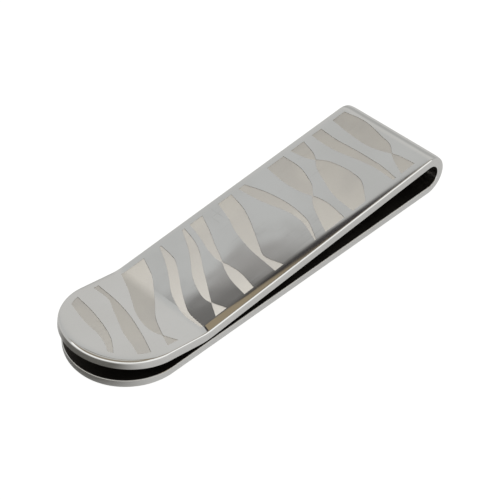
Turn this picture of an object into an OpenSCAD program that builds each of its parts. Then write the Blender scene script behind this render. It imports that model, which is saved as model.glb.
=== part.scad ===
// Money clip: one strip of spring steel folded back on itself.
// The back leaf lies flat, the fold is the spring, and the front leaf runs down
// to a nip, where it grips, and rises again in a rounded thumb lip.
// A pattern of twisting ribbons is etched into the front leaf's polished face.
// +X runs from the lip to the fold, +Z is up, and the back leaf rests on Z = 0.

/* [Strip] */
// Length over all, from the end of the lip to the outside of the fold
clip_length = 57.2; // [52:0.1:62]
// Width of the strip
strip_width = 16; // [15:0.5:19]
// Thickness of the sheet
sheet = 1.35; // [1:0.05:1.5]
// Radius worked onto the strip's edges by polishing
edge_r = 0.35; // [0.1:0.05:0.45]
// How far the back leaf's rounded end stops short of the lip's
back_setback = 0.4; // [0:0.1:2]

/* [Fold] */
// Radius inside the fold
fold_inner_r = 1.6; // [1.4:0.02:2]
// Slit across the outermost line of the fold, about which the front leaf turns
fold_slit = 0.03; // [0.02:0.01:0.1]

/* [Front leaf] */
// Distance from the end of the lip to the nip
nip_from_end = 14.2; // [13:0.1:17]
// Gap between the leaves at the nip
nip_gap = 0.3; // [0.1:0.05:0.4]
// Radius of the nip's underside
nip_r = 8; // [6:0.5:24]
// Angle at which the lip rises from the nip
lip_rise = 9.7; // [7:0.1:12]

/* [Etching] */
// Plain border between the ribbons and the edge of the strip
etch_margin = 1.2; // [1:0.1:1.6]
// Step from the polished face down to the etched floor
etch_depth = 0.05; // [0.03:0.01:0.08]
// Thickness of the etched layer under that floor
etch_layer = 0.1; // [0.08:0.01:0.15]
// Narrowest width of a ribbon, where it twists
ribbon_neck = 0.16; // [0.1:0.02:0.3]

/* [Hidden] */
$fn = 96;

steel = [0.78, 0.79, 0.79];
etched_steel = [0.80, 0.78, 0.74];

half_width = strip_width / 2;
end_x = -clip_length / 2;

// The fold is a ring about fold_x, fold_z
fold_outer_r = fold_inner_r + sheet;
fold_x = clip_length / 2 - fold_outer_r;
fold_z = sheet + fold_inner_r;

// The nip's underside is an arc whose lowest point is nip_x, nip_z
nip_x = end_x + nip_from_end;
nip_z = sheet + nip_gap;

// The leaf's underside is the line that touches both arcs, the nip's from below
// and the fold's from above, and leaf_rise is its angle
centre_dx = fold_x - nip_x;
centre_dz = fold_z - nip_z - nip_r;
leaf_rise = atan2(centre_dz, centre_dx)
          + asin((nip_r + fold_inner_r) / norm([centre_dx, centre_dz]));
leaf_x = nip_x + nip_r * sin(leaf_rise);
leaf_z = nip_z + nip_r * (1 - cos(leaf_rise));
leaf_len = norm([fold_x - fold_inner_r * sin(leaf_rise) - leaf_x,
                 fold_z + fold_inner_r * cos(leaf_rise) - leaf_z]);

// The lip starts where it touches the nip's arc, and its rounded end reaches end_x
lip_x = nip_x - nip_r * sin(lip_rise);
lip_z = nip_z + nip_r * (1 - cos(lip_rise));
lip_len = (lip_x - end_x + edge_r * (cos(lip_rise) + sin(lip_rise) - 1)) / cos(lip_rise);

// Each ribbon is the area between two edges, which cross where it twists.
// An edge is five distances from the end of the lip, in millimetres at the
// nominal length: on the far border, half way, on the middle line, half way
// and on the near border.
nominal_length = 57.2;
RIBBONS = [
    [[ 5.2,  4.2,  3.5,  2.1, -0.1], [ 6.4,  5.8,  4.8,  2.9,  0.4]],
    [[ 9.8,  8.7,  6.9,  5.6,  5.5], [ 9.1,  9.5,  8.7,  7.6,  6.1]],
    [[13.6, 11.9,  9.8,  8.9, 10.1], [17.2, 15.6, 12.7, 10.1,  8.8]],
    [[19.9, 18.0, 15.6, 14.2, 13.9], [20.4, 19.3, 17.1, 15.1, 14.5]],
    [[23.8, 21.9, 19.2, 17.7, 18.3], [24.4, 23.2, 20.9, 18.6, 16.4]],
    [[25.4, 24.1, 23.2, 23.6, 23.0], [27.4, 25.7, 24.0, 22.1, 21.4]],
    [[30.4, 29.1, 27.7, 27.0, 28.1], [32.6, 31.6, 29.7, 27.7, 26.7]],
    [[33.9, 34.2, 34.9, 34.9, 33.7], [35.0, 35.9, 36.2, 35.6, 34.0]],
    [[39.2, 38.7, 38.9, 39.4, 39.0], [42.1, 41.9, 40.3, 37.4, 35.7]],
    [[43.5, 44.6, 45.6, 45.3, 43.0], [45.9, 44.2, 42.6, 41.1, 40.7]],
    [[47.5, 47.2, 48.0, 48.3, 48.2], [49.3, 49.0, 49.1, 49.1, 48.7]],
    [[50.9, 50.8, 51.0, 52.1, 52.3], [54.1, 54.2, 53.7, 52.0, 49.7]],
];
stations = 5;
rows = 24;

// Height of an edge at place k, from 0 at its first station to 4 at its last,
// on a smooth cubic through the stations
function edge_at(e, k) =
    let (i = min(floor(k), stations - 2), f = k - i,
         before = i > 0 ? e[i - 1] : 2 * e[0] - e[1],
         after = i < stations - 2 ? e[i + 2] : 2 * e[i + 1] - e[i],
         slope_a = (e[i + 1] - before) / 2, slope_b = (after - e[i]) / 2)
    e[i] * (1 - f) * (1 - f) * (1 + 2 * f) + e[i + 1] * f * f * (3 - 2 * f)
    + slope_a * f * (1 - f) * (1 - f) - slope_b * f * f * (1 - f);

// One row of a ribbon: [y, lower x, upper x]
function ribbon_row(r, j) =
    let (k = (stations - 1) * j / rows,
         a = edge_at(r[0], k), b = edge_at(r[1], k), size = clip_length / nominal_length)
    [(half_width - etch_margin) * (1 - 2 * j / rows),
     end_x + size * (min(a, b) - ribbon_neck / 2),
     end_x + size * (max(a, b) + ribbon_neck / 2)];

module ribbon_outline(r) {
    row = [for (j = [0:rows]) ribbon_row(r, j)];
    polygon(concat([for (p = row) [p[1], p[0]]],
                   [for (j = [rows:-1:0]) [row[j][2], row[j][0]]]));
}

// Section across the strip: x is its width, y runs from its underside up
module strip_section() {
    translate([edge_r - half_width, 0]) square([strip_width - 2 * edge_r, sheet]);
    translate([-half_width, edge_r]) square([strip_width, sheet - 2 * edge_r]);
    for (x = [edge_r - half_width, half_width - edge_r], y = [edge_r, sheet - edge_r])
        translate([x, y]) circle(r = edge_r);
}

// A straight piece of strip from x = 0 to x = len
module straight_strip(len) {
    rotate([90, 0, 90]) linear_extrude(height = len) strip_section();
}

// A straight piece of strip up to x = 0, with its half-round end at x = -len
module round_ended_strip(len) {
    reach = len - half_width;
    translate([-reach, 0, 0]) {
        straight_strip(reach);
        rotate([0, 0, 90]) rotate_extrude(angle = 180) intersection() {
            strip_section();
            square([half_width, sheet]);
        }
    }
}

// The strip curled about an axis along Y through x, z
module curled_strip(x, z, r_out, from, to) {
    translate([x, 0, z]) rotate([90, 0, 0]) rotate([0, 0, from])
        rotate_extrude(angle = to - from) translate([r_out, 0]) rotate(90) strip_section();
}

// Plan of the lip or leaf inside its plain border, up to x = 0
module bordered_plan(len) {
    reach = len - half_width;
    wide = strip_width - 2 * etch_margin;
    translate([-reach, 0]) circle(d = wide);
    translate([-reach, -wide / 2]) square([reach, wide]);
}

// A layer of each stretch of the front leaf, between two heights above its underside
module lip_layer(low, high) {
    translate([lip_x, 0, lip_z]) rotate([0, lip_rise, 0]) translate([0, 0, low])
        linear_extrude(height = high - low) bordered_plan(lip_len);
}

module nip_layer(low, high) {
    translate([nip_x, 0, nip_z + nip_r]) rotate([90, 0, 0]) rotate([0, 0, -90 - lip_rise])
        rotate_extrude(angle = lip_rise + leaf_rise)
            translate([nip_r - high, -half_width]) square([high - low, strip_width]);
}

module leaf_layer(low, high) {
    translate([leaf_x, -half_width, leaf_z]) rotate([0, -leaf_rise, 0])
        translate([0, 0, low]) cube([leaf_len, strip_width, high - low]);
}

// The part of its child that lies under the ribbons
module under_ribbons() {
    for (r = RIBBONS) intersection() {
        linear_extrude(height = 2 * fold_z + sheet) ribbon_outline(r);
        children();
    }
}

layer_low = sheet - etch_depth - etch_layer;
layer_high = sheet - etch_depth;

module back_leaf() {
    color(steel) translate([fold_x, 0, 0]) round_ended_strip(fold_x - end_x - back_setback);
}

module fold_back_half() {
    color(steel) curled_strip(fold_x, fold_z, fold_outer_r, -90, 0);
}

module fold_front_half() {
    color(steel) curled_strip(fold_x, fold_z, fold_outer_r,
                              asin(fold_slit / fold_inner_r), 90 + leaf_rise);
}

module front_leaf() {
    color(steel) difference() {
        translate([leaf_x, 0, leaf_z]) rotate([0, -leaf_rise, 0]) straight_strip(leaf_len);
        under_ribbons() leaf_layer(layer_low, 2 * sheet);
    }
}

module nip_bend() {
    color(steel) difference() {
        curled_strip(nip_x, nip_z + nip_r, nip_r, -90 - lip_rise, -90 + leaf_rise);
        under_ribbons() nip_layer(layer_low, 2 * sheet);
    }
}

module thumb_lip() {
    color(steel) difference() {
        translate([lip_x, 0, lip_z]) rotate([0, lip_rise, 0]) round_ended_strip(lip_len);
        under_ribbons() lip_layer(layer_low, 2 * sheet);
    }
}

module etched_ribbons() {
    color(etched_steel) {
        under_ribbons() lip_layer(layer_low, layer_high);
        under_ribbons() nip_layer(layer_low, layer_high);
        under_ribbons() leaf_layer(layer_low, layer_high);
    }
}

back_leaf();
fold_back_half();
fold_front_half();
front_leaf();
nip_bend();
thumb_lip();
etched_ribbons();
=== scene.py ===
"""A polished steel money clip: one strip, etched with ribbons and folded back on itself.

The strip is modelled flat, the ribbons are sunk into it, it is cut where the seams
don't show, and then it is bent along the clip's side profile. All sizes are metres.
"""

import math

import bpy
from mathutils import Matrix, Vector


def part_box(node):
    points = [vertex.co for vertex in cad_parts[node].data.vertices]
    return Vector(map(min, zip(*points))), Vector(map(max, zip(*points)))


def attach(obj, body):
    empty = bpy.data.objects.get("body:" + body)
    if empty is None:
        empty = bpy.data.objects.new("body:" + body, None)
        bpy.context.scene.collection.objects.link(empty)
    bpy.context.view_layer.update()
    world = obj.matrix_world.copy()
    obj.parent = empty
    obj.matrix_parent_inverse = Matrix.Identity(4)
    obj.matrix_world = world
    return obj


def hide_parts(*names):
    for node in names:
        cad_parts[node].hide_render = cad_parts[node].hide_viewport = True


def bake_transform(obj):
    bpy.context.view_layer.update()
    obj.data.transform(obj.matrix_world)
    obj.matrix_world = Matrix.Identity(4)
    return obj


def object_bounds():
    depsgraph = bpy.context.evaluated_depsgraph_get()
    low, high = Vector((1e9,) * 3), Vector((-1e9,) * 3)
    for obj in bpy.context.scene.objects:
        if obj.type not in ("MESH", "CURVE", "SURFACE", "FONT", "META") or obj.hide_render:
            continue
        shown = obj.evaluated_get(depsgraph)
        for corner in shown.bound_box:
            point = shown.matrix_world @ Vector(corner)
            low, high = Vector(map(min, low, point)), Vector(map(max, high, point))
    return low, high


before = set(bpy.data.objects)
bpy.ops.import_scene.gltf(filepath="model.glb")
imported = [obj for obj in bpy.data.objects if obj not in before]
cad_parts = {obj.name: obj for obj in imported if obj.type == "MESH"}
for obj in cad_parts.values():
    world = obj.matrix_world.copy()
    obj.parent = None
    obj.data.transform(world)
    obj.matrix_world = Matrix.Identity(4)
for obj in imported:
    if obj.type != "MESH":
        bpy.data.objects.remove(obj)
cad_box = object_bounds()

MM = 0.001

# ---------------------------------------------------------------- sizes of the strip

back_low, back_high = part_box("back_leaf")
clip_low, clip_high = (Vector(corner) for corner in cad_box)
SHEET = back_high.z
HALF_WIDTH = back_high.y
END_X = clip_low.x                      # end of the thumb lip
BACK_END_X = back_low.x                 # end of the back leaf
FOLD_R = clip_high.z / 2                # outer radius of the fold
FOLD_X = clip_high.x - FOLD_R
NIP_R = 8 * MM                          # radius of the nip's underside
NIP_X = END_X + 14.2 * MM
NIP_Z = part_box("nip_bend")[0].z
LIP_RISE = math.radians(9.7)            # how steeply the lip turns up

fold_inner_r = FOLD_R - SHEET
centre_dx = FOLD_X - NIP_X
centre_dz = FOLD_R - NIP_Z - NIP_R
LEAF_RISE = (math.atan2(centre_dz, centre_dx)
             + math.asin((NIP_R + fold_inner_r) / math.hypot(centre_dx, centre_dz)))

LEAN_IN = 0.2 * MM                      # the strip's edge leans in this much
LEAN_HEIGHT = 0.36 * MM                 # over this height below the outer face
LEAN_ROUND = 0.18 * MM                  # rounding where the lean starts
OUTER_ROUND = 0.1 * MM                  # and where it meets the outer face
INNER_RIM_R = 0.12 * MM                 # rounding of the inner face's edge
SHOULDER = 0.25 * MM                    # the outer face slopes evenly this far in
SHOULDER_SLOPE = 0.14
CROWN_WIDTH = 1.1 * MM                  # and then rounds over to flat across this much
CROWN_RINGS = 6
ETCH_DEPTH = 0.05 * MM                  # from the outer face down to a ribbon's floor
ETCH_LAYER = 0.1 * MM                   # thickness of that floor's own piece
BORDER = 1.2 * MM                       # plain steel between the ribbons and the rim
NECK = 0.06 * MM                        # a ribbon's width where it twists
GROOVE = 0.02 * MM                      # fine groove that outlines each ribbon


# ---------------------------------------------------------------- side profile

def turned(angle):
    """Unit vector along the strip at that slope, in the plane of the side profile."""
    return Vector((math.cos(angle), 0, math.sin(angle)))


def around(centre, radius, angle):
    return Vector(centre) + radius * turned(angle)


nip_centre = (NIP_X, 0, NIP_Z + NIP_R)
fold_centre = (FOLD_X, 0, FOLD_R)
nip_top_r = NIP_R - SHEET
lip_joint = around(nip_centre, nip_top_r, -math.pi / 2 - LIP_RISE)
leaf_joint = around(nip_centre, nip_top_r, -math.pi / 2 + LEAF_RISE)
fold_joint = around(fold_centre, FOLD_R, math.pi / 2 + LEAF_RISE)
lip_overhang = ((SHEET - INNER_RIM_R) * math.sin(LIP_RISE)
                + INNER_RIM_R * (1 - math.cos(LIP_RISE)))
lip_length = (lip_joint.x - END_X - lip_overhang) / math.cos(LIP_RISE)

# Places along the strip's outer face, measured from the end of the lip
NIP_START = lip_length
NIP_END = NIP_START + nip_top_r * (LIP_RISE + LEAF_RISE)
FOLD_START = NIP_END + (fold_joint - leaf_joint).length
FOLD_TURN = math.pi + LEAF_RISE
FOLD_END = FOLD_START + FOLD_R * FOLD_TURN
STRIP_LENGTH = FOLD_END + FOLD_X - BACK_END_X

# The fold piece reaches into both leaves; its front seam lies between the last two ribbons
FRONT_SEAM_X = 20.9 * MM
FRONT_SEAM = NIP_END + (FRONT_SEAM_X - leaf_joint.x) / math.cos(LEAF_RISE)
BACK_SEAM = FOLD_END + 5 * MM


def along_strip(s):
    """Place along the outer face of a point that lies s from the lip's end in plan."""
    x = END_X + s
    if x < lip_joint.x:
        return NIP_START - (lip_joint.x - x) / math.cos(LIP_RISE)
    if x < leaf_joint.x:
        return NIP_START + nip_top_r * (LIP_RISE + math.asin((x - NIP_X) / nip_top_r))
    return NIP_END + (x - leaf_joint.x) / math.cos(LEAF_RISE)


def side_profile():
    """The curve that the strip's outer face follows, from the lip round to the back leaf."""
    knots = [
        (lip_joint - lip_length * turned(-LIP_RISE), -LIP_RISE),
        (lip_joint, -LIP_RISE),
        (leaf_joint, LEAF_RISE),
        (fold_joint, LEAF_RISE),
    ]
    arcs = 6
    for step in range(1, arcs + 1):
        turn = FOLD_TURN * step / arcs
        angle = math.pi / 2 + LEAF_RISE - turn
        knots.append((around(fold_centre, FOLD_R, angle), angle - math.pi / 2))
    knots.append((Vector((BACK_END_X, 0, 0)), -math.pi))

    def reach(a, b):
        """Handle length that makes the span between two knots a true arc."""
        turn = abs(b[1] - a[1])
        chord = (b[0] - a[0]).length
        if turn < 1e-6:
            return chord / 3
        return 4 / 3 * math.tan(turn / 4) * chord / (2 * math.sin(turn / 2))

    data = bpy.data.curves.new("side_profile", "CURVE")
    data.dimensions = "3D"
    data.twist_mode = "MINIMUM"
    data.resolution_u = 64
    spline = data.splines.new("BEZIER")
    spline.bezier_points.add(len(knots) - 1)
    for i, (point, knot) in enumerate(zip(spline.bezier_points, knots)):
        before = reach(knots[i - 1], knot) if i else MM
        after = reach(knot, knots[i + 1]) if i + 1 < len(knots) else MM
        point.handle_left_type = point.handle_right_type = "FREE"
        point.co = knot[0]
        point.handle_left = knot[0] - before * turned(knot[1])
        point.handle_right = knot[0] + after * turned(knot[1])
    curve = bpy.data.objects.new("side_profile", data)
    bpy.context.scene.collection.objects.link(curve)
    return curve


# ---------------------------------------------------------------- mesh helpers

def deselect():
    bpy.ops.object.select_all(action="DESELECT")


def activate(piece):
    deselect()
    piece.select_set(True)
    bpy.context.view_layer.objects.active = piece


def select_edges(piece, wanted):
    """In edit mode, selects the edges whose two ends pass the test."""
    bpy.ops.mesh.select_mode(type="EDGE")
    bpy.ops.mesh.select_all(action="DESELECT")
    bpy.ops.object.mode_set(mode="OBJECT")
    places = [v.co.copy() for v in piece.data.vertices]
    for edge in piece.data.edges:
        edge.select = wanted(*(places[v] for v in edge.vertices))
    bpy.ops.object.mode_set(mode="EDIT")


def select_faces(piece, wanted):
    """In edit mode, selects the faces that pass the test."""
    bpy.ops.mesh.select_mode(type="FACE")
    bpy.ops.mesh.select_all(action="DESELECT")
    bpy.ops.object.mode_set(mode="OBJECT")
    for face in piece.data.polygons:
        face.select = wanted(face)
    bpy.ops.object.mode_set(mode="EDIT")


def apply_modifier(piece, kind, **settings):
    activate(piece)
    modifier = piece.modifiers.new(kind.lower(), kind)
    for name, value in settings.items():
        setattr(modifier, name, value)
    bpy.ops.object.modifier_apply(modifier=modifier.name)


def cut_across(place):
    """Cuts the mesh in edit mode right across the strip."""
    bpy.ops.mesh.select_all(action="SELECT")
    bpy.ops.mesh.bisect(plane_co=(place, 0, 0), plane_no=(1, 0, 0))


def cut_for_bends(piece, bends):
    """Cuts a flat piece across wherever it will bend: (from, to, steps) for each bend."""
    activate(piece)
    bpy.ops.object.mode_set(mode="EDIT")
    for start, end, steps in bends:
        for step in range(steps + 1):
            cut_across(start + (end - start) * step / steps)
    bpy.ops.object.mode_set(mode="OBJECT")


def keep_stretch(piece, start, end):
    """Cuts a flat piece down to one stretch of the strip and closes its cut ends."""
    activate(piece)
    bpy.ops.object.mode_set(mode="EDIT")
    for place, facing in ((start, -1), (end, 1)):
        if 0 < place < STRIP_LENGTH:
            bpy.ops.mesh.select_all(action="SELECT")
            bpy.ops.mesh.bisect(plane_co=(place, 0, 0), plane_no=(facing, 0, 0),
                                use_fill=True, clear_outer=True)
    bpy.ops.object.mode_set(mode="OBJECT")


def copy_piece(piece, name):
    twin = piece.copy()
    twin.data = piece.data.copy()
    twin.name = twin.data.name = name
    bpy.context.scene.collection.objects.link(twin)
    return twin


def mark_inside(piece):
    """Gives the strip's inner face, which is down while it is flat, its second material, the dark steel
    that is painted shade for the gap between the leaves.
    """
    piece.data.materials.clear()
    piece.data.materials.append(steel)
    piece.data.materials.append(shaded_inside_steel)
    for face in piece.data.polygons:
        face.material_index = 1 if face.normal.z < -0.999 else 0


def smooth(piece):
    """Smooths the curved faces and leaves the flat ones truly flat."""
    activate(piece)
    bpy.ops.object.shade_smooth_by_angle(angle=math.radians(32))
    apply_modifier(piece, "WEIGHTED_NORMAL", keep_sharp=True, weight=80)


# ---------------------------------------------------------------- the flat strip

NIP_BEND = (NIP_START, NIP_END, 18)     # from, to, number of steps
FOLD_BEND = (FOLD_START, FOLD_END, 92)


def flat_strip():
    """The blank: round ended, outer face up, falling away a little to an edge that leans in."""
    crown_drop = SHOULDER_SLOPE * CROWN_WIDTH / 3
    height = SHEET - SHOULDER_SLOPE * SHOULDER - crown_drop - LEAN_HEIGHT
    rim = height - SHEET
    bpy.ops.mesh.primitive_cube_add(size=1, location=(STRIP_LENGTH / 2, 0, height / 2 - SHEET))
    blank = bpy.context.object
    blank.name = "flat_strip"
    blank.scale = (STRIP_LENGTH, 2 * HALF_WIDTH, height)
    bpy.ops.object.transform_apply(location=True, scale=True)
    bpy.ops.object.mode_set(mode="EDIT")
    select_edges(blank, lambda a, b: abs(a.z - b.z) > height / 2)
    bpy.ops.mesh.bevel(offset=HALF_WIDTH, segments=48, affect="EDGES")
    bpy.ops.mesh.select_all(action="SELECT")
    bpy.ops.mesh.remove_doubles(threshold=1e-7)
    select_faces(blank, lambda face: face.normal.z > 0.999)
    bpy.ops.mesh.inset(thickness=LEAN_IN, depth=LEAN_HEIGHT)
    bpy.ops.mesh.inset(thickness=SHOULDER, depth=SHOULDER_SLOPE * SHOULDER)
    for ring in range(CROWN_RINGS):
        outer, inner = 1 - ring / CROWN_RINGS, 1 - (ring + 1) / CROWN_RINGS
        bpy.ops.mesh.inset(thickness=CROWN_WIDTH / CROWN_RINGS,
                           depth=crown_drop * (outer ** 3 - inner ** 3))
    for level, offset in ((rim, LEAN_ROUND), (rim + LEAN_HEIGHT, OUTER_ROUND)):
        select_edges(blank, lambda a, b: max(abs(a.z - level), abs(b.z - level)) < 1e-7)
        bpy.ops.mesh.bevel(offset=offset, segments=6, affect="EDGES")
    select_edges(blank, lambda a, b: max(a.z, b.z) < -0.999 * SHEET)
    bpy.ops.mesh.bevel(offset=INNER_RIM_R, segments=4, affect="EDGES")
    bpy.ops.object.mode_set(mode="OBJECT")
    return blank


# Each ribbon lies between two edges, which cross where it twists. An edge is given by
# its distances from the lip's end, in millimetres, at these places across the strip.
STATIONS = (6.8, 4.0, 2.0, 0.0, -2.0, -4.0, -6.8)
RIBBONS = (
    ((5.2, 4.35, 3.9, 3.7, 3.1, 1.9, -0.4), (6.4, 6.05, 5.6, 5.0, 4.1, 2.6, 0.2)),
    ((9.9, 9.7, 9.4, 8.9, 8.2, 7.4, 6.1), (9.2, 9.1, 8.1, 7.1, 6.1, 5.5, 4.4)),
    ((13.7, 12.3, 11.1, 9.9, 9.2, 9.1, 10.3), (17.4, 16.1, 14.6, 12.9, 11.15, 10.0, 8.7)),
    ((20.15, 18.6, 17.2, 15.7, 14.75, 14.15, 14.15), (20.35, 19.9, 18.7, 17.2, 15.85, 14.8, 14.4)),
    ((24.05, 22.4, 20.9, 19.3, 18.25, 17.7, 18.4), (24.4, 23.6, 22.5, 21.05, 19.7, 18.3, 16.6)),
    ((25.4, 24.6, 23.85, 23.4, 23.65, 23.65, 23.0), (27.5, 26.15, 25.0, 24.0, 22.85, 22.05, 21.5)),
    ((30.4, 29.45, 28.5, 27.85, 27.35, 27.1, 26.8), (32.65, 31.95, 31.05, 29.9, 28.7, 27.65, 28.2)),
    ((34.05, 34.25, 34.6, 35.1, 35.3, 35.0, 33.85), (35.1, 35.9, 36.2, 36.3, 36.1, 35.6, 34.0)),
    ((39.3, 38.85, 38.8, 39.05, 39.6, 39.65, 39.15), (42.2, 42.15, 41.55, 40.5, 38.5, 37.25, 35.8)),
    ((43.6, 44.1, 45.3, 45.75, 45.85, 45.4, 43.1), (46.0, 45.05, 43.5, 42.55, 41.65, 41.1, 40.8)),
    ((47.6, 47.45, 47.6, 48.0, 48.35, 48.5, 48.35), (49.3, 49.1, 49.2, 49.3, 49.3, 49.25, 48.8)),
    ((51.6, 51.2, 51.0, 50.95, 51.4, 52.1, 52.4), (53.8, 54.2, 54.0, 53.5, 53.0, 51.4, 49.9)),
)
RIBBON_ROWS = 68


def edge_at(edge, y):
    """Distance of a ribbon's edge from the lip's end, on a smooth cubic through its stations."""
    last = len(STATIONS) - 1
    i = max(k for k in range(last) if y <= STATIONS[k] or k == 0)
    slopes = []
    for k in (i, i + 1):
        a, b = max(k - 1, 0), min(k + 1, last)
        slopes.append((edge[b] - edge[a]) / (STATIONS[b] - STATIONS[a]))
    step = STATIONS[i + 1] - STATIONS[i]
    f = (y - STATIONS[i]) / step
    return (edge[i] * (1 + 2 * f) * (1 - f) ** 2 + edge[i + 1] * f * f * (3 - 2 * f)
            + step * f * (1 - f) * (slopes[0] * (1 - f) - slopes[1] * f))


def ribbon_block(number, low, high, widen=0.0):
    """One ribbon's plan as a block on the flat strip, between two heights, perhaps widened."""
    reach = HALF_WIDTH - BORDER
    bpy.ops.mesh.primitive_grid_add(x_subdivisions=1, y_subdivisions=RIBBON_ROWS, size=2)
    ribbon = bpy.context.object
    ribbon.name = ribbon.data.name = f"etched_ribbon_{number:02d}"
    near_edge, far_edge = RIBBONS[number - 1]
    for vertex in ribbon.data.vertices:
        y = vertex.co.y * reach
        ends = sorted(edge_at(edge, y / MM) * MM for edge in (near_edge, far_edge))
        side = 0 if vertex.co.x < 0 else 1
        s = ends[side] + (side - 0.5) * (NECK + 2 * widen)
        vertex.co = (along_strip(s), y, low)
    activate(ribbon)
    bpy.ops.object.mode_set(mode="EDIT")
    bpy.ops.mesh.select_all(action="SELECT")
    bpy.ops.mesh.extrude_region_move(TRANSFORM_OT_translate={"value": (0, 0, high - low)})
    bpy.ops.mesh.select_all(action="SELECT")
    bpy.ops.mesh.normals_make_consistent(inside=False)
    bpy.ops.object.mode_set(mode="OBJECT")
    return ribbon


def round_border():
    """A block over the whole pattern's field, with the same round end as the lip."""
    bpy.ops.mesh.primitive_cylinder_add(vertices=128, radius=HALF_WIDTH - BORDER,
                                        depth=4 * SHEET, location=(HALF_WIDTH, 0, 0))
    field = bpy.context.object
    bpy.ops.object.mode_set(mode="EDIT")
    bpy.ops.mesh.select_mode(type="VERT")
    bpy.ops.mesh.select_all(action="DESELECT")
    bpy.ops.object.mode_set(mode="OBJECT")
    for vertex in field.data.vertices:
        vertex.select = vertex.co.x > 1e-6
    bpy.ops.object.mode_set(mode="EDIT")
    bpy.ops.transform.translate(value=(FOLD_START, 0, 0))
    bpy.ops.object.mode_set(mode="OBJECT")
    bpy.ops.object.transform_apply(location=True)
    return field


# ---------------------------------------------------------------- materials

FLOOR_GLOW = 0.92                       # glow that the camera sees
FLOOR_MIRRORED = 0.45                   # glow that the steel mirrors
FLOOR_SHADE_X = -40 * MM                # middle of a patch of painted shade, with no mirrored glow, by the lip's end
FLOOR_SHADE_LONG = 15 * MM              # its reach along the clip
FLOOR_SHADE_WIDE = 18 * MM              # and across it


def put_in(tree, socket, value):
    """Links a node's output to a socket, or sets a plain number or colour on it."""
    if isinstance(value, bpy.types.NodeSocket):
        tree.links.new(value, socket)
    else:
        socket.default_value = value


def math_node(tree, operation, *values):
    node = tree.nodes.new("ShaderNodeMath")
    node.operation = operation
    for socket, value in zip(node.inputs, values):
        put_in(tree, socket, value)
    return node.outputs["Value"]


def ramp(tree, value, low, high, to_low=0.0, to_high=1.0):
    """Goes smoothly from one number to another while the value goes from low to high."""
    node = tree.nodes.new("ShaderNodeMapRange")
    node.interpolation_type = "SMOOTHSTEP"
    for name, number in (("Value", value), ("From Min", low), ("From Max", high),
                         ("To Min", to_low), ("To Max", to_high)):
        put_in(tree, node.inputs[name], number)
    return node.outputs["Result"]


def mix_colour(tree, mask, under, over):
    node = tree.nodes.new("ShaderNodeMix")
    node.data_type = "RGBA"
    put_in(tree, node.inputs["Factor"], mask)
    put_in(tree, node.inputs["A"], under)
    put_in(tree, node.inputs["B"], over)
    return node.outputs["Result"]


def noise(tree, scale, detail, stretch=(1, 1, 1)):
    """Noise on the piece's own coordinates; its scale is the number of lumps in a metre."""
    coords = tree.nodes.new("ShaderNodeTexCoord")
    mapping = tree.nodes.new("ShaderNodeMapping")
    mapping.inputs["Scale"].default_value = stretch
    node = tree.nodes.new("ShaderNodeTexNoise")
    tree.links.new(coords.outputs["Object"], mapping.inputs["Vector"])
    tree.links.new(mapping.outputs["Vector"], node.inputs["Vector"])
    put_in(tree, node.inputs["Scale"], scale)
    put_in(tree, node.inputs["Detail"], detail)
    return node.outputs["Fac"]


def new_group(name, inputs, outputs):
    """An empty shader group with number sockets: (name, default) in, names out."""
    group = bpy.data.node_groups.new(name, "ShaderNodeTree")
    for label, default in inputs:
        socket = group.interface.new_socket(label, in_out="INPUT", socket_type="NodeSocketFloat")
        socket.default_value = default
    for label in outputs:
        group.interface.new_socket(label, in_out="OUTPUT", socket_type="NodeSocketFloat")
    entry = group.nodes.new("NodeGroupInput")
    result = group.nodes.new("NodeGroupOutput")
    return group, entry.outputs, result.inputs


def buffing_waves():
    """The slow unevenness that a polishing wheel leaves, as a height from 0 to 1."""
    group, entry, result = new_group("buffing_waves", [("Waves per metre", 140)], ["Height"])
    long_waves = noise(group, entry["Waves per metre"], 1, stretch=(1, 1.6, 1))
    group.links.new(long_waves, result["Height"])
    return group


def fine_scratches():
    """Hairline scratches, some along the strip and some across it, as a mask."""
    group, entry, result = new_group("fine_scratches", [("Lines per metre", 5200)], ["Mask"])
    along = noise(group, entry["Lines per metre"], 2, stretch=(0.02, 1, 0.4))
    aslant = noise(group, entry["Lines per metre"], 2, stretch=(0.9, 0.035, 0.4))
    lines = math_node(group, "MAXIMUM", ramp(group, along, 0.60, 0.74), ramp(group, aslant, 0.64, 0.78))
    patches = ramp(group, noise(group, 230, 2), 0.4, 0.65)
    group.links.new(math_node(group, "MULTIPLY", lines, patches), result["Mask"])
    return group


def handling_haze():
    """Faint blotches where fingers have dulled the metal, as a mask."""
    group, entry, result = new_group("handling_haze", [("Blotches per metre", 90)], ["Mask"])
    blotches = noise(group, entry["Blotches per metre"], 5)
    group.links.new(ramp(group, blotches, 0.38, 0.68), result["Mask"])
    return group


def place_group(tree, group, **settings):
    """Puts a group in a material with its inputs set, and gives its one output."""
    node = tree.nodes.new("ShaderNodeGroup")
    node.node_tree = group
    for name, value in settings.items():
        node.inputs[name.replace("_", " ").capitalize()].default_value = value
    return node.outputs[0]


def metal(name, colour):
    """A metal material, with a plain colour for views that show no nodes."""
    material = bpy.data.materials.new(name)
    material.use_nodes = True
    material.diffuse_color = (*colour, 1)
    tree = material.node_tree
    shader = tree.nodes["Principled BSDF"]
    shader.inputs["Metallic"].default_value = 1
    return material, tree, shader


def add_bump(tree, shader, heights):
    """Adds bumps one on another: (height, depth in metres) for each."""
    normal = None
    for height, depth in heights:
        bump = tree.nodes.new("ShaderNodeBump")
        bump.inputs["Distance"].default_value = depth
        tree.links.new(height, bump.inputs["Height"])
        if normal:
            tree.links.new(normal, bump.inputs["Normal"])
        normal = bump.outputs["Normal"]
    tree.links.new(normal, shader.inputs["Normal"])


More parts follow.
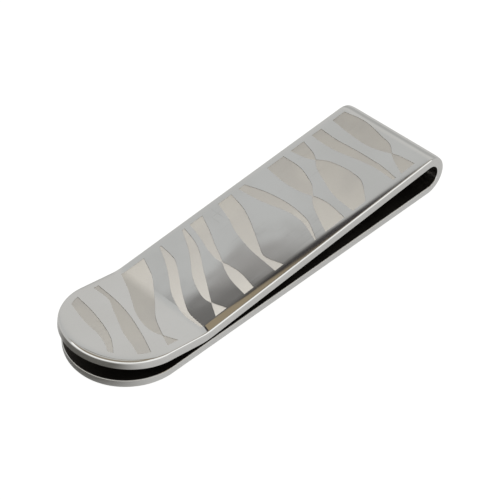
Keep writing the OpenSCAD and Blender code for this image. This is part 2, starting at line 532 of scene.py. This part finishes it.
def polished_steel(effects):
    """Mirror-polished strip with a little unevenness, haze and hairline scratches."""
    material, tree, shader = metal("polished_steel", (0.76, 0.76, 0.75))
    waves = place_group(tree, effects["waves"], waves_per_metre=130)
    scratches = place_group(tree, effects["scratches"], lines_per_metre=5200)
    haze = place_group(tree, effects["haze"], blotches_per_metre=85)
    colour = mix_colour(tree, haze, (0.775, 0.775, 0.765, 1), (0.745, 0.742, 0.728, 1))
    tree.links.new(mix_colour(tree, math_node(tree, "MULTIPLY", scratches, 0.15), colour,
                              (0.6, 0.6, 0.6, 1)), shader.inputs["Base Color"])
    roughness = math_node(tree, "ADD", ramp(tree, haze, 0, 1, 0.045, 0.08),
                          math_node(tree, "MULTIPLY", scratches, 0.05))
    tree.links.new(roughness, shader.inputs["Roughness"])
    add_bump(tree, shader, [(waves, 0.012 * MM), (scratches, 0.00015 * MM)])
    return material


def shaded_inner_steel(effects):
    """Dull, very dark steel on the inner faces, which face the gap between the leaves: painted shade
    for the gap, with lines along the strip.
    """
    material, tree, shader = metal("shaded_inner_steel", (0.2, 0.19, 0.18))
    scratches = place_group(tree, effects["scratches"], lines_per_metre=4000)
    haze = place_group(tree, effects["haze"], blotches_per_metre=140)
    # the dark base colours are painted shade for the gap; the blotches between them are random tone
    tree.links.new(mix_colour(tree, haze, (0.2, 0.19, 0.175, 1), (0.13, 0.12, 0.11, 1)),
                   shader.inputs["Base Color"])
    tree.links.new(ramp(tree, haze, 0, 1, 0.34, 0.46), shader.inputs["Roughness"])
    add_bump(tree, shader, [(scratches, 0.002 * MM)])
    return material


def etched_steel(effects):
    """Fine, even, warm grey grain of etched metal, slightly patchy."""
    material, tree, shader = metal("etched_steel", (0.7, 0.675, 0.63))
    scratches = place_group(tree, effects["scratches"], lines_per_metre=5200)
    haze = place_group(tree, effects["haze"], blotches_per_metre=120)
    grain = noise(tree, 9000, 3)
    speckle = ramp(tree, grain, 0.35, 0.65)
    base = mix_colour(tree, haze, (0.53, 0.515, 0.49, 1), (0.49, 0.475, 0.445, 1))
    tree.links.new(mix_colour(tree, math_node(tree, "MULTIPLY", speckle, 0.16), base,
                              (0.4, 0.385, 0.35, 1)), shader.inputs["Base Color"])
    roughness = math_node(tree, "SUBTRACT", ramp(tree, haze, 0, 1, 0.44, 0.52),
                          math_node(tree, "MULTIPLY", scratches, 0.1))
    tree.links.new(roughness, shader.inputs["Roughness"])
    add_bump(tree, shader, [(grain, 0.004 * MM)])
    return material


def floor_material():
    """Matt board that glows: white to the camera, softer where the steel mirrors it, with painted shade
    in a patch by the lip's end where the mirrored glow fades out.
    """
    material = bpy.data.materials.new("studio_floor")
    material.use_nodes = True
    tree = material.node_tree
    shader = tree.nodes["Principled BSDF"]
    fibres = noise(tree, 900, 4)
    tree.links.new(mix_colour(tree, fibres, (0.28, 0.28, 0.275, 1), (0.32, 0.32, 0.315, 1)),
                   shader.inputs["Base Color"])
    shader.inputs["Roughness"].default_value = 0.9
    shader.inputs["Specular IOR Level"].default_value = 0.1
    shader.inputs["Emission Color"].default_value = (1, 1, 1, 1)
    coords = tree.nodes.new("ShaderNodeTexCoord")
    spread = tree.nodes.new("ShaderNodeMapping")
    spread.inputs["Scale"].default_value = (1 / FLOOR_SHADE_LONG, 1 / FLOOR_SHADE_WIDE, 1)
    spread.inputs["Location"].default_value = (-FLOOR_SHADE_X / FLOOR_SHADE_LONG, 0, 0)
    distance = tree.nodes.new("ShaderNodeVectorMath")
    distance.operation = "LENGTH"
    tree.links.new(coords.outputs["Object"], spread.inputs["Vector"])
    tree.links.new(spread.outputs["Vector"], distance.inputs[0])
    # near the lip's end the steel mirrors no glow: a patch of painted shade on the floor
    mirrored_glow_shaded = ramp(tree, distance.outputs["Value"], 0.6, 1.3, 0, FLOOR_MIRRORED)
    seen = tree.nodes.new("ShaderNodeLightPath").outputs["Is Camera Ray"]
    glow = math_node(tree, "MAXIMUM", math_node(tree, "MULTIPLY", seen, FLOOR_GLOW), mirrored_glow_shaded)
    tree.links.new(glow, shader.inputs["Emission Strength"])
    return material


# ---------------------------------------------------------------- building the clip

deselect()
effects = {"waves": buffing_waves(), "scratches": fine_scratches(), "haze": handling_haze()}
steel = polished_steel(effects)
shaded_inside_steel = shaded_inner_steel(effects)
etched = etched_steel(effects)
profile = side_profile()
blank = flat_strip()

field = round_border()
ribbons = []
floor_low = -ETCH_DEPTH - ETCH_LAYER
for number in range(1, len(RIBBONS) + 1):
    cutter = ribbon_block(number, floor_low, SHEET, GROOVE)
    apply_modifier(cutter, "BOOLEAN", operation="INTERSECT", object=field)
    apply_modifier(blank, "BOOLEAN", operation="DIFFERENCE", object=cutter)
    bpy.data.objects.remove(cutter)
    ribbon = ribbon_block(number, floor_low, -ETCH_DEPTH)
    apply_modifier(ribbon, "BOOLEAN", operation="INTERSECT", object=field)
    ribbons.append(ribbon)

cut_for_bends(blank, [NIP_BEND, FOLD_BEND])
mark_inside(blank)
front = copy_piece(blank, "clip_front_leaf")
keep_stretch(front, -1, FRONT_SEAM)
fold = copy_piece(blank, "clip_fold")
keep_stretch(fold, FRONT_SEAM, BACK_SEAM)
back = copy_piece(blank, "clip_back_leaf")
keep_stretch(back, BACK_SEAM, 1)

for ribbon in ribbons:
    ribbon.data.materials.clear()
    ribbon.data.materials.append(etched)
    cut_for_bends(ribbon, [NIP_BEND])

for piece in [front, fold, back] + ribbons:
    apply_modifier(piece, "CURVE", object=profile, deform_axis="POS_X")
    smooth(piece)

for helper in (blank, field, profile):
    bpy.data.objects.remove(helper)

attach(front, "front")
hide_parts("front_leaf", "nip_bend", "thumb_lip")
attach(back, "back")
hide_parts("back_leaf")
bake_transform(fold)
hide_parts("fold_back_half", "fold_front_half")
for ribbon in ribbons:
    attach(ribbon, "front")
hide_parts("etched_ribbons")

# ---------------------------------------------------------------- studio

FLOOR_SIZE = 3
FLOOR_GAP = 0.02 * MM                   # keeps the floor just clear of the clip

LOW_WALL = (0.5, 0.5, 0.49, 1)
PALE_WALL = (0.66, 0.655, 0.64, 1)
COOL_WALL = (0.585, 0.59, 0.585, 1)
HALF_LIT = (0.37, 0.36, 0.35, 1)        # the doorway's frame
DARK_DOOR = (0.17, 0.165, 0.16, 1)
DEEP_DOOR = (0.045, 0.042, 0.045, 1)
BROWN_PANEL = (0.35, 0.29, 0.2, 1)
CEILING = (0.6, 0.6, 0.59, 1)
DIM_SIDE = (0.34, 0.3, 0.24, 1)
WINDOW = (1.15, 1.15, 1.14, 1)
GROUND = (0.6, 0.6, 0.6, 1)

# Bands of the room behind the camera: lowest and highest level, how far round they
# reach, and colour. A level is the sine of the height above the horizon.
BANDS_BEHIND = ((0.3, 0.78, 0.25, DIM_SIDE), (0.0, 0.32, -0.1, WINDOW))
LEVEL_BLUR = 0.03
REACH_BLUR = 0.12

LAMP_SIZE = 90 * MM
LAMP_POWER = 0.14
LAMP_PLACE = (-8 * MM, 2 * MM, 120 * MM)
LAMP_TILT = math.radians(-12)

VIEW_AZIMUTH = math.radians(-45.19)
VIEW_ELEVATION = math.radians(42.35)
CAMERA_DISTANCE = 248.32 * MM
CAMERA_LENS = 141.87
CAMERA_RIGHT = 0.449 * MM               # shifts that centre the clip in the frame
CAMERA_UP = 1.299 * MM

deselect()
bpy.ops.mesh.primitive_plane_add(size=FLOOR_SIZE, location=(0, 0, -FLOOR_GAP))
floor = bpy.context.object
floor.name = "studio_floor"
floor.data.materials.append(floor_material())


def slanted_edge(tree, aside, lowest, start, slope):
    """Climb of an edge in the room that runs level and then rises with the sideways turn."""
    rising = math_node(tree, "ADD", start, math_node(tree, "MULTIPLY", aside, slope))
    return math_node(tree, "MAXIMUM", lowest, rising)


def studio_room():
    """The room that the steel mirrors, as seen from the clip.

    Directions are given by two angles in degrees: the climb from the fold end (0) over
    the top (90) to the lip end (180), and the sideways turn towards the far side.
    """
    world = bpy.data.worlds.new("studio_room")
    bpy.context.scene.world = world
    world.use_nodes = True
    tree = world.node_tree
    coords = tree.nodes.new("ShaderNodeTexCoord")
    split = tree.nodes.new("ShaderNodeSeparateXYZ")
    tree.links.new(coords.outputs["Generated"], split.inputs["Vector"])
    x, y, z = (split.outputs[axis] for axis in "XYZ")
    climb = math_node(tree, "DEGREES", math_node(tree, "ARCTAN2", z, x))
    aside = math_node(tree, "DEGREES", math_node(tree, "ARCSINE", y))

    room = mix_colour(tree, ramp(tree, climb, 20, 32), LOW_WALL, PALE_WALL)
    room = mix_colour(tree, ramp(tree, climb, 40, 60), room, COOL_WALL)

    # High up on the far side, a dark doorway with a half-lit frame, then brown panelling
    above_door = ramp(tree, aside, 31.7, 32.6, 0, 12)
    frame_edge = math_node(tree, "ADD", slanted_edge(tree, aside, 59.3, 28.85, 1), above_door)
    door_edge = slanted_edge(tree, aside, 59.8, 14.9, 1.5)
    panel_edge = math_node(tree, "ADD", door_edge, ramp(tree, aside, 28, 31, 3.9, 12))
    door = mix_colour(tree, ramp(tree, aside, 24, 31), DEEP_DOOR, DARK_DOOR)
    below_ceiling = ramp(tree, climb, 74, 78, 1, 0)
    for edge, blur, colour in ((frame_edge, 0.25, HALF_LIT), (door_edge, 0.5, door),
                               (panel_edge, 0.4, BROWN_PANEL)):
        past = math_node(tree, "SUBTRACT", climb, edge)
        mask = math_node(tree, "MULTIPLY", ramp(tree, past, -blur, blur), below_ceiling)
        room = mix_colour(tree, mask, room, colour)

    # A broad soft ceiling light, and the dim side of the room over a bright low window
    ceiling = math_node(tree, "MULTIPLY", ramp(tree, climb, 76, 86),
                        ramp(tree, climb, 104, 118, 1, 0))
    ceiling = math_node(tree, "MULTIPLY", ceiling, ramp(tree, aside, 20, 27, 1, 0))
    room = mix_colour(tree, ceiling, room, CEILING)
    behind = math_node(tree, "ADD", x, y)
    for low, high, reach, colour in BANDS_BEHIND:
        above = ramp(tree, z, low - LEVEL_BLUR, low + LEVEL_BLUR)
        below = ramp(tree, z, high - LEVEL_BLUR, high + LEVEL_BLUR, 1, 0)
        band = math_node(tree, "MULTIPLY", above, below)
        within = ramp(tree, behind, reach, reach + REACH_BLUR, 1, 0)
        room = mix_colour(tree, math_node(tree, "MULTIPLY", band, within), room, colour)
    room = mix_colour(tree, ramp(tree, z, -LEVEL_BLUR, 0, 1, 0), room, GROUND)
    tree.links.new(room, tree.nodes["Background"].inputs["Color"])


studio_room()
bpy.context.scene.view_settings.view_transform = "Standard"

# A soft lamp for the matt ribbons alone; the polished steel only mirrors the room
lamp_data = bpy.data.lights.new("soft_lamp", "AREA")
lamp_data.shape = "DISK"
lamp_data.size = LAMP_SIZE
lamp_data.energy = LAMP_POWER
lamp_data.color = (1, 0.985, 0.96)
lamp = bpy.data.objects.new("soft_lamp", lamp_data)
lamp.location = LAMP_PLACE
lamp.rotation_euler = (0, LAMP_TILT, 0)
lamp.visible_camera = False
bpy.context.scene.collection.objects.link(lamp)
lit_ribbons = bpy.data.collections.new("lit_ribbons")
for ribbon in ribbons:
    lit_ribbons.objects.link(ribbon)
lamp.light_linking.receiver_collection = lit_ribbons

camera_data = bpy.data.cameras.new("camera")
camera_data.lens = CAMERA_LENS
camera_data.sensor_width = 36
camera_data.clip_start = 0.01
camera = bpy.data.objects.new("camera", camera_data)
bpy.context.scene.collection.objects.link(camera)
right = Vector((math.cos(VIEW_AZIMUTH), math.sin(VIEW_AZIMUTH), 0))
back_away = Vector((math.sin(VIEW_AZIMUTH) * math.cos(VIEW_ELEVATION),
                    -math.cos(VIEW_AZIMUTH) * math.cos(VIEW_ELEVATION),
                    math.sin(VIEW_ELEVATION)))
up = back_away.cross(right)
camera.location = CAMERA_RIGHT * right + CAMERA_UP * up + CAMERA_DISTANCE * back_away
camera.rotation_euler = back_away.to_track_quat("Z", "Y").to_euler()
bpy.context.scene.camera = camera
